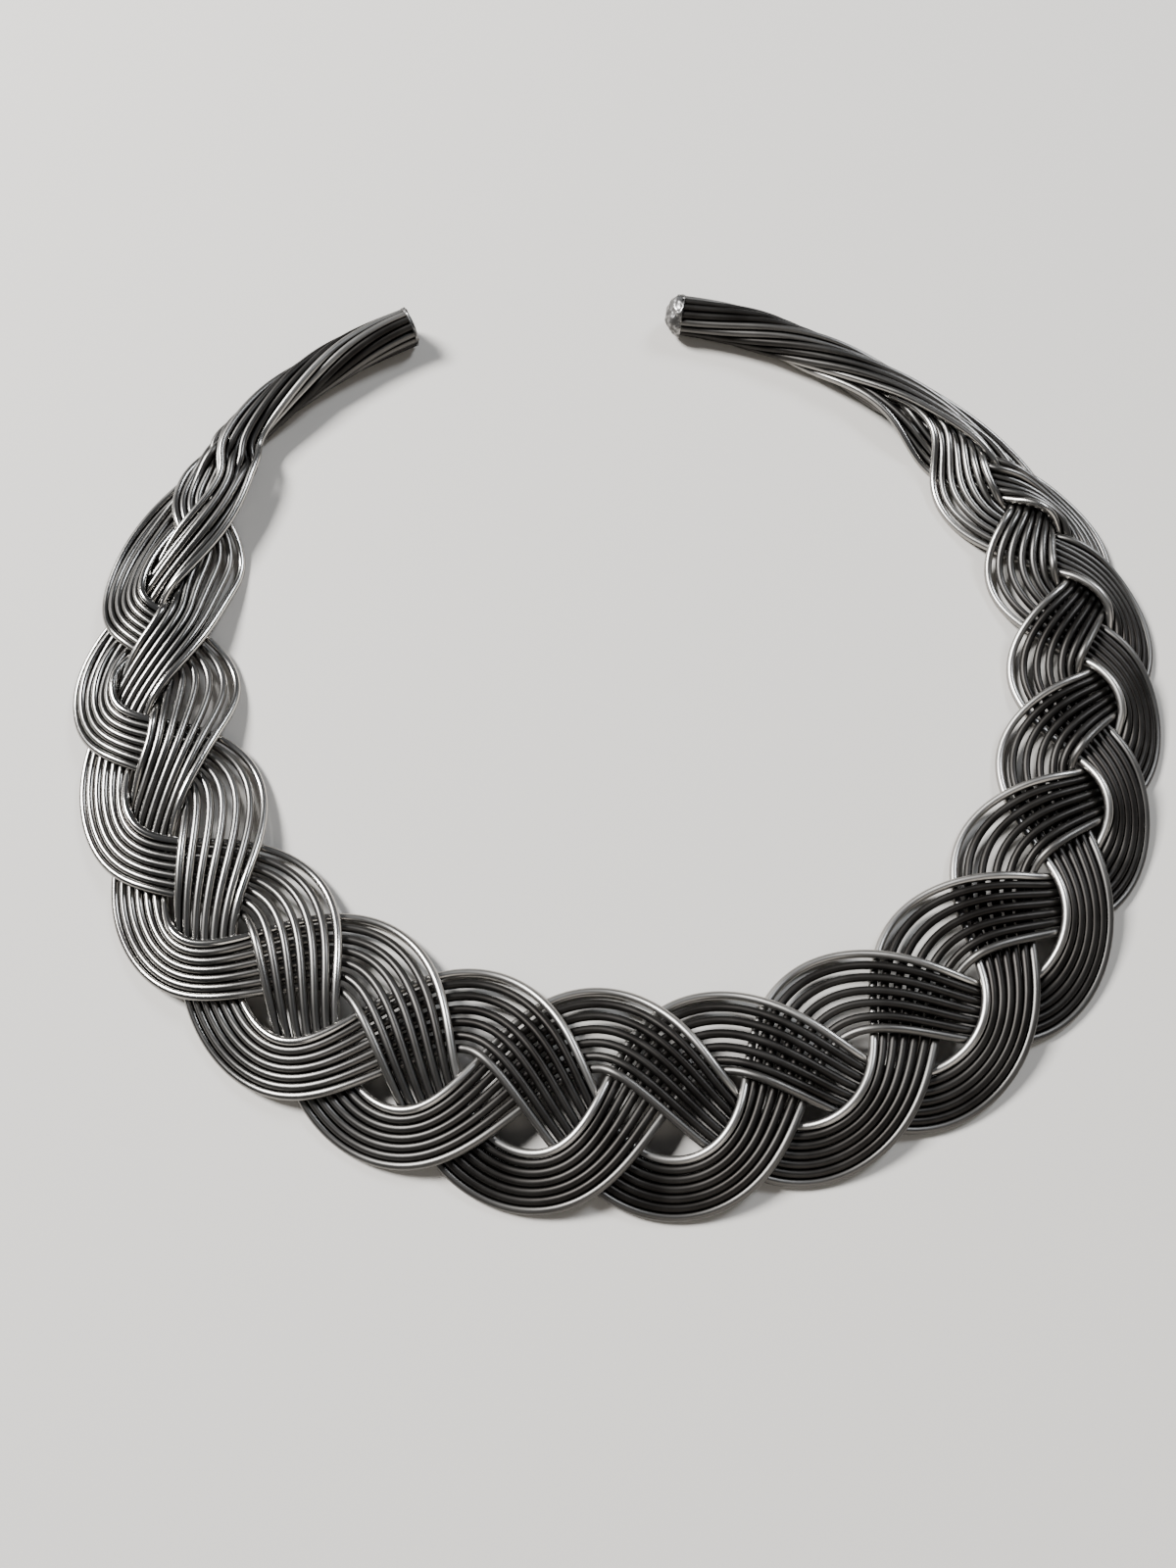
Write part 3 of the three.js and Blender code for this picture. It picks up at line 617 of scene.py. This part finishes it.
class Signal:
    """A shader socket that Python operators work on: each adds a Math node."""

    def __init__(self, tree, socket):
        self.tree = tree
        self.socket = socket

    def node(self, kind, settings=None, output=0, **inputs):
        """Any node: its type, its settings, and the values or signals of its sockets.

        A socket is given by its name, or as i0, i1 and so on by its number.
        """
        made = self.tree.nodes.new(kind)
        for key, value in (settings or {}).items():
            setattr(made, key, value)
        for key, value in inputs.items():
            index = int(key[1:]) if key[1:].isdigit() else key.replace("_", " ")
            if isinstance(value, Signal):
                self.tree.links.new(value.socket, made.inputs[index])
            else:
                made.inputs[index].default_value = value
        return Signal(self.tree, made.outputs[output])

    def _math(self, operation, a, b):
        return self.node("ShaderNodeMath", {"operation": operation}, i0=a, i1=b)

    def __add__(self, other):
        return self._math("ADD", self, other)

    __radd__ = __add__

    def __sub__(self, other):
        return self._math("SUBTRACT", self, other)

    def __rsub__(self, other):
        return self._math("SUBTRACT", other, self)

    def __mul__(self, other):
        return self._math("MULTIPLY", self, other)

    __rmul__ = __mul__

    def between(self, low, high):
        """0 below low, 1 above high, with a soft step between them."""
        return self.node(
            "ShaderNodeMapRange", {"interpolation_type": "SMOOTHSTEP"},
            Value=self, From_Min=low, From_Max=high)

    def noise(self, vector, scale, detail=2.0, roughness=0.5):
        """Cloudy noise, from 0 to 1."""
        return self.node(
            "ShaderNodeTexNoise", Vector=vector, Scale=scale, Detail=detail, Roughness=roughness)

    def scaled(self, vector, by):
        """A vector with each part multiplied by its own number."""
        return self.node("ShaderNodeVectorMath", {"operation": "MULTIPLY"}, i0=vector, i1=by)

    def mix(self, one, two, share):
        """One colour turning into another as the share goes from 0 to 1."""
        return self.node(
            "ShaderNodeMix", {"data_type": "RGBA"}, output=2,
            i0=share, i6=(*one, 1), i7=(*two, 1))


def new_material(name):
    """A material, its shader, and a signal that makes nodes in its tree."""
    material = bpy.data.materials.new(name)
    material.use_nodes = True
    tree = material.node_tree
    shader = next(n for n in tree.nodes if n.type == "BSDF_PRINCIPLED")
    return material, shader, Signal(tree, None)


def feed(shader, **inputs):
    """Joins signals to the shader's sockets, and sets plain numbers on them."""
    for key, value in inputs.items():
        socket = shader.inputs[key.replace("_", " ")]
        if isinstance(value, Signal):
            value.tree.links.new(value.socket, socket)
        else:
            socket.default_value = value


# The metal is painted brighter on the left arm and towards the back of the right one, a painted
# highlight where the window light falls. The painted highlight comes or goes over each of these
# stretches, in metres to the right of the middle or behind it.
LEFT_ARM_X = (-0.078, -0.026)
LEFT_ARM_Y = (0.045, 0.068)
RIGHT_ARM_X = (0.035, 0.070)
RIGHT_ARM_Y = (-0.005, 0.035)

DRAW_MARKS = (5.0, 5.0, 90.0)       # marks of the draw plate: round the wire, and along it
HAIRLINES = (14.0, 14.0, 260.0)
PATCH_SCALE = 95.0
GRAIN_SCALE = 2600.0
WIRE_RELIEF = 0.00002


def drawn_silver(finish):
    """Drawn silver wire, darkened and then rubbed: black in the grooves, partly oxide and partly
    painted shade, grey on the backs, with painted highlight on the lit arms and the edge wires.
    """
    material, shader, s = new_material("darkened silver wire")
    turn = s.node("ShaderNodeAttribute", {"attribute_name": "wire"}, output=1)
    nook = s.node("ShaderNodeAttribute", {"attribute_name": "nook"}, output=2)
    rubbed = s.node("ShaderNodeAttribute", {"attribute_name": "rubbed"}, output=2)
    place = s.node("ShaderNodeTexCoord", output=3)
    drawn = s.noise(s.scaled(turn, DRAW_MARKS), 1.0, detail=3.0)
    hair = s.noise(s.scaled(turn, HAIRLINES), 1.0, detail=2.0)
    patch = s.noise(place, PATCH_SCALE, detail=3.0, roughness=0.6).between(0.3, 0.7)
    grain = s.noise(place, GRAIN_SCALE, detail=2.0)
    # the grooves are left out here and keep the oxide colour, partly oxide and partly painted
    # shade
    open_back = (1 - nook).between(0.1, 0.9)
    x = s.node("ShaderNodeSeparateXYZ", Vector=place)
    y = s.node("ShaderNodeSeparateXYZ", output=1, Vector=place)
    left = (1 - x.between(*LEFT_ARM_X)) * (1 - y.between(*LEFT_ARM_Y))
    right = x.between(*RIGHT_ARM_X) * y.between(*RIGHT_ARM_Y)
    # painted highlight on the left arm and towards the back of the right arm
    bright = left + 0.85 * right
    # wear and painted highlight on the edge wires, less of it on the right arm
    edges = rubbed * (0.55 - 0.30 * right)
    # How far the colour goes from oxide to bare silver: real uneven wear from the patch noise,
    # plus painted highlight on the lit arms and the edge wires
    wear_and_highlight = open_back * (0.012 + 0.035 * patch + 0.30 * bright + edges)
    wear_and_highlight = wear_and_highlight * (0.85 + 0.15 * drawn.between(0.35, 0.65))
    colour = s.mix(finish.oxide, finish.bare, wear_and_highlight)
    rough = 0.46 - 0.20 * wear_and_highlight - 0.15 * bright + 0.08 * (hair - 0.5) + 0.06 * (patch - 0.5)
    height = drawn * 0.6 + hair * 0.25 + grain * 0.3
    bump = s.node("ShaderNodeBump", Strength=0.3, Distance=WIRE_RELIEF, Height=height)
    feed(shader, Base_Color=colour, Metallic=1.0, Roughness=rough, Normal=bump)
    return material


LUMP_SCALE = 900.0
PIT_SCALE = 3500.0
SOLDER_RELIEF = 0.00006


def run_solder(finish):
    """Silver solder as it set: grey, pitted, bright on its high spots."""
    material, shader, s = new_material("silver solder")
    place = s.node("ShaderNodeTexCoord", output=3)
    lumps = s.noise(place, LUMP_SCALE, detail=3.0, roughness=0.6)
    pits = s.noise(place, PIT_SCALE, detail=2.0)
    bright = lumps.between(0.42, 0.62)
    dark = tuple(0.3 * c for c in finish.solder)
    colour = s.mix(dark, tuple(finish.solder), bright)
    rough = 0.5 - 0.2 * bright + 0.1 * (pits - 0.5)
    height = lumps + 0.3 * pits
    bump = s.node("ShaderNodeBump", Strength=0.5, Distance=SOLDER_RELIEF, Height=height)
    feed(shader, Base_Color=colour, Metallic=1.0, Roughness=rough, Normal=bump)
    return material


def plain_floor(stage):
    """A plain, pale, matt floor."""
    material, shader, s = new_material("plain floor")
    place = s.node("ShaderNodeTexCoord", output=3)
    tone = s.noise(place, 6.0, detail=2.0)
    pale = tuple(stage.floor_colour)
    shade = tuple(0.97 * c for c in pale)
    feed(shader, Base_Color=s.mix(shade, pale, tone), Roughness=0.85)
    return material


# ------------------------------------------------------------------ a wire as solid metal


def wire_tree():
    """Sweeps a round section along a wire's axis, and notes each point's place on the wire."""
    tree = bpy.data.node_groups.new("drawn wire", "GeometryNodeTree")
    for name, kind, default in (
        ("Geometry", "NodeSocketGeometry", None),
        ("Gauge", "NodeSocketFloat", WIRE_GAUGE),
        ("Sides", "NodeSocketInt", WIRE_SIDES),
        ("Sections", "NodeSocketInt", WIRE_SECTIONS),
        ("Material", "NodeSocketMaterial", None),
    ):
        socket = tree.interface.new_socket(name=name, in_out="INPUT", socket_type=kind)
        if default is not None:
            socket.default_value = default
    tree.interface.new_socket(name="Geometry", in_out="OUTPUT", socket_type="NodeSocketGeometry")

    def add(kind, settings=None, **inputs):
        """A node with its settings, and numbers or links for its sockets."""
        node = tree.nodes.new(kind)
        for key, value in (settings or {}).items():
            setattr(node, key, value)
        for key, value in inputs.items():
            socket = node.inputs[key.replace("_", " ")]
            if isinstance(value, bpy.types.NodeSocket):
                tree.links.new(value, socket)
            else:
                socket.default_value = value
        return node

    def number(operation, a, b=None):
        """The result of a Math node."""
        node = tree.nodes.new("ShaderNodeMath")
        node.operation = operation
        for socket, value in zip(node.inputs, (a, b)):
            if isinstance(value, bpy.types.NodeSocket):
                tree.links.new(value, socket)
            elif value is not None:
                socket.default_value = value
        return node.outputs[0]

    given = tree.nodes.new("NodeGroupInput").outputs
    path = add("GeometryNodeMeshToCurve", Mesh=given["Geometry"])
    path = add("GeometryNodeCurveSplineType",
               {"spline_type": "CATMULL_ROM"}, Curve=path.outputs[0])
    path = add("GeometryNodeSetSplineResolution",
               Geometry=path.outputs[0], Resolution=given["Sections"])
    length = add("GeometryNodeSplineParameter").outputs["Length"]
    kept = tree.nodes.new("GeometryNodeCaptureAttribute")
    kept.capture_items.new("FLOAT", "Length")
    tree.links.new(path.outputs[0], kept.inputs[0])
    tree.links.new(length, kept.inputs[1])
    ring = add("GeometryNodeCurvePrimitiveCircle",
               Resolution=given["Sides"], Radius=number("MULTIPLY", given["Gauge"], 0.5))
    share = add("GeometryNodeSplineParameter").outputs["Factor"]
    kept_ring = tree.nodes.new("GeometryNodeCaptureAttribute")
    kept_ring.capture_items.new("FLOAT", "Factor")
    tree.links.new(ring.outputs[0], kept_ring.inputs[0])
    tree.links.new(share, kept_ring.inputs[1])
    swept = add("GeometryNodeCurveToMesh",
                Curve=kept.outputs[0], Profile_Curve=kept_ring.outputs[0], Fill_Caps=True)
    angle = number("MULTIPLY", kept_ring.outputs[1], 2 * pi)
    spot = add("ShaderNodeCombineXYZ",
               X=number("COSINE", angle), Y=number("SINE", angle), Z=kept.outputs[1])
    noted = add("GeometryNodeStoreNamedAttribute",
                {"data_type": "FLOAT_VECTOR", "domain": "POINT"},
                Geometry=swept.outputs[0], Name="wire", Value=spot.outputs[0])
    rounded = add("GeometryNodeSetShadeSmooth", Geometry=noted.outputs[0])
    real = add("GeometryNodeRealizeInstances", Geometry=rounded.outputs[0])
    painted = add("GeometryNodeSetMaterial", Geometry=real.outputs[0], Material=given["Material"])
    out = tree.nodes.new("NodeGroupOutput")
    tree.links.new(painted.outputs[0], out.inputs[0])
    return tree


def placed(name, data):
    """A new object at the origin, in the scene."""
    made = bpy.data.objects.new(name, data)
    bpy.context.scene.collection.objects.link(made)
    return made


def grown(name, mesh, tree, **values):
    """The mesh that a tree makes of another mesh, as a plain object at the origin."""
    holder = placed(name + "_axis", mesh)
    modifier = holder.modifiers.new("sweep", "NODES")
    modifier.node_group = tree
    for item in tree.interface.items_tree:
        if item.in_out == "INPUT" and item.name in values:
            modifier[item.identifier] = values[item.name]
    graph = bpy.context.evaluated_depsgraph_get()
    made = bpy.data.meshes.new_from_object(
        holder.evaluated_get(graph), preserve_all_data_layers=True, depsgraph=graph)
    made.name = name
    piece = placed(name, made)
    holder.modifiers.remove(modifier)
    bpy.data.objects.remove(holder)
    return piece


def vertex_places(mesh):
    """The places of a mesh's vertices, one row each."""
    places = np.empty(len(mesh.vertices) * 3, np.float32)
    mesh.vertices.foreach_get("co", places)
    return places.reshape(-1, 3).astype(float)


def gap_to_axes(places, axes):
    """Distance from each place to the nearest of several bent lines."""
    points = np.concatenate(axes)
    line = np.repeat(np.arange(len(axes)), [len(axis) for axis in axes])
    tree = kdtree.KDTree(len(points))
    for k, point in enumerate(points):
        tree.insert(point, k)
    tree.balance()
    near = np.array([tree.find(place)[1] for place in places])
    gap = np.full(len(places), np.inf)
    for beside in (np.maximum(near - 1, 0), np.minimum(near + 1, len(points) - 1)):
        beside = np.where(line[beside] == line[near], beside, near)
        along, start = points[beside] - points[near], places - points[near]
        share = (start * along).sum(1) / np.maximum((along**2).sum(1), 1e-12)
        gap = np.minimum(gap, np.linalg.norm(start - along * share.clip(0, 1)[:, None], axis=1))
    return gap


def note(mesh, name, values):
    """Stores one number on each vertex of a mesh."""
    attribute = mesh.attributes.new(name, "FLOAT", "POINT")
    values = np.broadcast_to(values, len(mesh.vertices)).astype(np.float32)
    attribute.data.foreach_set("value", values)


# The grooves between wires are painted near-black: partly oxide, partly painted shade where the
# wires shadow each other.
NOOK_BOTTOM = 0.04     # nearer another wire than this share of the gauge, the metal is all dark
NOOK_REACH = 0.34      # and over this much further it clears


def shade_nooks(pieces, sides, gauge):
    """Notes on each vertex how deep it lies in a groove between its wire and another."""
    places = [vertex_places(piece.data) for piece in pieces]
    axes = [p.reshape(-1, sides, 3).mean(axis=1) for p in places]
    for n, (piece, verts) in enumerate(zip(pieces, places)):
        gap = gap_to_axes(verts, [axis for m, axis in enumerate(axes) if m != n]) - gauge / 2
        note(piece.data, "nook", 1 - smooth((gap / gauge - NOOK_BOTTOM) / NOOK_REACH))


# ------------------------------------------------------------------ solder on the rope ends


BEAD_CENTRE = 0.3          # how far the middle of a bead lies beyond the rope's tip
BEAD_BACK = 0.5            # depth of its side towards the rope
BEAD_FLOOR = 0.02          # no lump of it hangs lower than this
SEED_STEP = (3.1, 1.7, 0)  # how far apart two beads take their lumps from the noise
UP = Vector((0, 0, 1))


def solder_bead(name, rope, reach, crown, lumps, seed, material):
    """A lump of solder over the wire ends: as wide as the rope, crowned, uneven."""
    bm = bmesh.new()
    bmesh.ops.create_icosphere(bm, subdivisions=5, radius=1)
    forward = along_collar(rope.tip[0]) * np.sign(rope.tip[0])
    tip = polar(*rope.tip)
    axis = Vector((*forward, 0))
    centre = Vector((*(tip + forward * BEAD_CENTRE), ROPE_AXIS_Z))
    across = axis.cross(UP)
    offset = seed * Vector(SEED_STEP)
    for v in bm.verts:
        d = v.co.copy()
        bump = noise.fractal(d * 1.6 + offset, 1.0, 2.0, 3) * lumps
        out = Vector((d.x, d.y)) * (reach + bump)
        ahead = d.z * crown + bump * 0.8 if d.z > 0 else d.z * BEAD_BACK
        v.co = centre + across * out.x + UP * out.y + axis * ahead
        v.co.z = max(v.co.z, BEAD_FLOOR)
    bmesh.ops.recalc_face_normals(bm, faces=bm.faces)
    mesh = bpy.data.meshes.new(name)
    bm.to_mesh(mesh)
    bm.free()
    mesh.transform(Matrix.Translation(-Vector(PLAIT_CENTRE)))
    mesh.transform(Matrix.Scale(MM, 4))
    for polygon in mesh.polygons:
        polygon.use_smooth = True
    mesh.materials.append(material)
    return placed(name, mesh)


# ------------------------------------------------------------------ operators


class HASLI_OT_wires(bpy.types.Operator):
    """Plaits the three strands of seven wires and twists their ends into ropes"""

    bl_idname = "hasli.wires"
    bl_label = "Plait the wires"

    def execute(self, context):
        size = context.scene.hasli_plait
        material = drawn_silver(context.scene.hasli_silver)
        tree = wire_tree()
        pieces = []
        for wire in collar_wires(size):
            axis = bpy.data.meshes.new(wire.name + "_axis")
            edges = [(k, k + 1) for k in range(len(wire.points) - 1)]
            axis.from_pydata(wire.points.tolist(), edges, [])
            piece = grown(
                wire.name.replace("wire", "round_wire"), axis, tree,
                Gauge=size.wire_gauge, Sides=size.wire_sides, Sections=size.sections_per_step,
                Material=material)
            if len(piece.data.polygons) < len(wire.points) * size.wire_sides:
                raise RuntimeError(f"{piece.name} came out empty")
            pieces.append(piece)
            # how much wear and painted highlight each edge wire gets
            note(piece.data, "rubbed", EDGE_WEAR_AND_HIGHLIGHT.get(wire.number, 0))
            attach(piece, "root")
            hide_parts(wire.name)
        shade_nooks(pieces, size.wire_sides, size.wire_gauge)
        return {"FINISHED"}


class HASLI_OT_left_end(bpy.types.Operator):
    """Closes the left rope: its wires cut flush under a thin plate of solder"""

    bl_idname = "hasli.left_end"
    bl_label = "Solder the left end"

    def execute(self, context):
        material = run_solder(context.scene.hasli_silver)
        piece = solder_bead(
            "left_end_solder", LEFT_ROPE,
            reach=3.45, crown=0.9, lumps=0.3, seed=1, material=material)
        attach(piece, "root")
        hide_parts("left_end_cap")
        return {"FINISHED"}


class HASLI_OT_right_end(bpy.types.Operator):
    """Closes the right rope with a lumpy bead of solder"""

    bl_idname = "hasli.right_end"
    bl_label = "Solder the right end"

    def execute(self, context):
        material = run_solder(context.scene.hasli_silver)
        piece = solder_bead(
            "right_end_solder", RIGHT_ROPE,
            reach=3.5, crown=3.0, lumps=0.5, seed=2, material=material)
        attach(piece, "root")
        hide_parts("right_end_cap")
        return {"FINISHED"}


# name, place, the place it points at, side, power in watts, colour
SOFT_LIGHTS = (
    ("bounce", (0.2, -0.9, 0.6), (0, 0, 0), 0.8, 4.0, (1.0, 0.95, 0.88)),
    ("window", (-0.75, 0.55, 0.85), (0, 0, 0), 0.36, 56.0, (0.98, 0.99, 1.0)),
    ("sky", (0.7, 0.45, 0.75), (0.05, 0.03, 0), 0.3, 9.0, (0.86, 0.92, 1.0)),
)
ROOM_COLOUR = (0.8, 0.84, 0.9, 1)
ROOM_STRENGTH = 0.10


def soft_light(name, place, target, side, power, colour):
    """A square light that points at a place on the table."""
    data = bpy.data.lights.new(name, "AREA")
    data.shape = "RECTANGLE"
    data.size = data.size_y = side
    data.energy = power
    data.color = colour
    lamp = placed(name, data)
    lamp.location = place
    lamp.rotation_euler = (Vector(target) - Vector(place)).to_track_quat("-Z", "Y").to_euler()


class HASLI_OT_stage(bpy.types.Operator):
    """Lays the plain floor and sets the soft lights and the camera"""

    bl_idname = "hasli.stage"
    bl_label = "Set the stage"

    def execute(self, context):
        scene = context.scene
        stage = scene.hasli_stage
        half = stage.floor_size / 2
        mesh = bpy.data.meshes.new("floor")
        mesh.from_pydata(
            [(-half, -half, 0), (half, -half, 0), (half, half, 0), (-half, half, 0)],
            [], [(0, 1, 2, 3)])
        mesh.materials.append(plain_floor(stage))
        floor = placed("floor", mesh)

        world = bpy.data.worlds.new("soft room")
        world.use_nodes = True
        background = world.node_tree.nodes["Background"]
        background.inputs["Color"].default_value = ROOM_COLOUR
        background.inputs["Strength"].default_value = ROOM_STRENGTH
        scene.world = world

        for row in SOFT_LIGHTS:
            soft_light(*row)

        data = bpy.data.cameras.new("camera")
        data.lens = stage.lens
        data.clip_start = 0.01
        camera = placed("camera", data)
        pitch, turn = stage.view_pitch, stage.view_turn
        back = Vector((-sin(turn) * cos(pitch), -cos(turn) * cos(pitch), sin(pitch)))
        camera.location = Vector(stage.view_centre) + back * stage.view_distance
        camera.rotation_mode = "QUATERNION"
        camera.rotation_quaternion = (-back).to_track_quat("-Z", "Y")
        scene.camera = camera
        return {"FINISHED"}


class HASLI_PT_panel(bpy.types.Panel):
    """The collar's sizes, finishes and steps"""

    bl_idname = "HASLI_PT_panel"
    bl_label = "Plaited hasli"
    bl_space_type = "VIEW_3D"
    bl_region_type = "UI"
    bl_category = "Hasli"

    def draw(self, context):
        scene = context.scene
        for group in (scene.hasli_plait, scene.hasli_silver, scene.hasli_stage):
            box = self.layout.box()
            for name in group.__annotations__:
                box.prop(group, name)
        for operator in OPERATORS:
            self.layout.operator(operator.bl_idname)


OPERATORS = (HASLI_OT_wires, HASLI_OT_left_end, HASLI_OT_right_end, HASLI_OT_stage)
GROUPS = {
    "hasli_plait": HasliPlaitSizes,
    "hasli_silver": HasliSilverFinish,
    "hasli_stage": HasliStageSettings,
}


def register():
    """Makes the collar's settings, operators and panel known to the program."""
    for cls in (*GROUPS.values(), *OPERATORS, HASLI_PT_panel):
        bpy.utils.register_class(cls)
    for name, group in GROUPS.items():
        setattr(bpy.types.Scene, name, PointerProperty(type=group))


def unregister():
    """Takes them out again."""
    for name in GROUPS:
        delattr(bpy.types.Scene, name)
    for cls in (HASLI_PT_panel, *reversed(OPERATORS), *GROUPS.values()):
        bpy.utils.unregister_class(cls)


def main():
    """Builds the collar on its stage."""
    register()
    bpy.ops.hasli.wires()
    bpy.ops.hasli.left_end()
    bpy.ops.hasli.right_end()
    bpy.ops.hasli.stage()


if __name__ == "__main__":
    main()
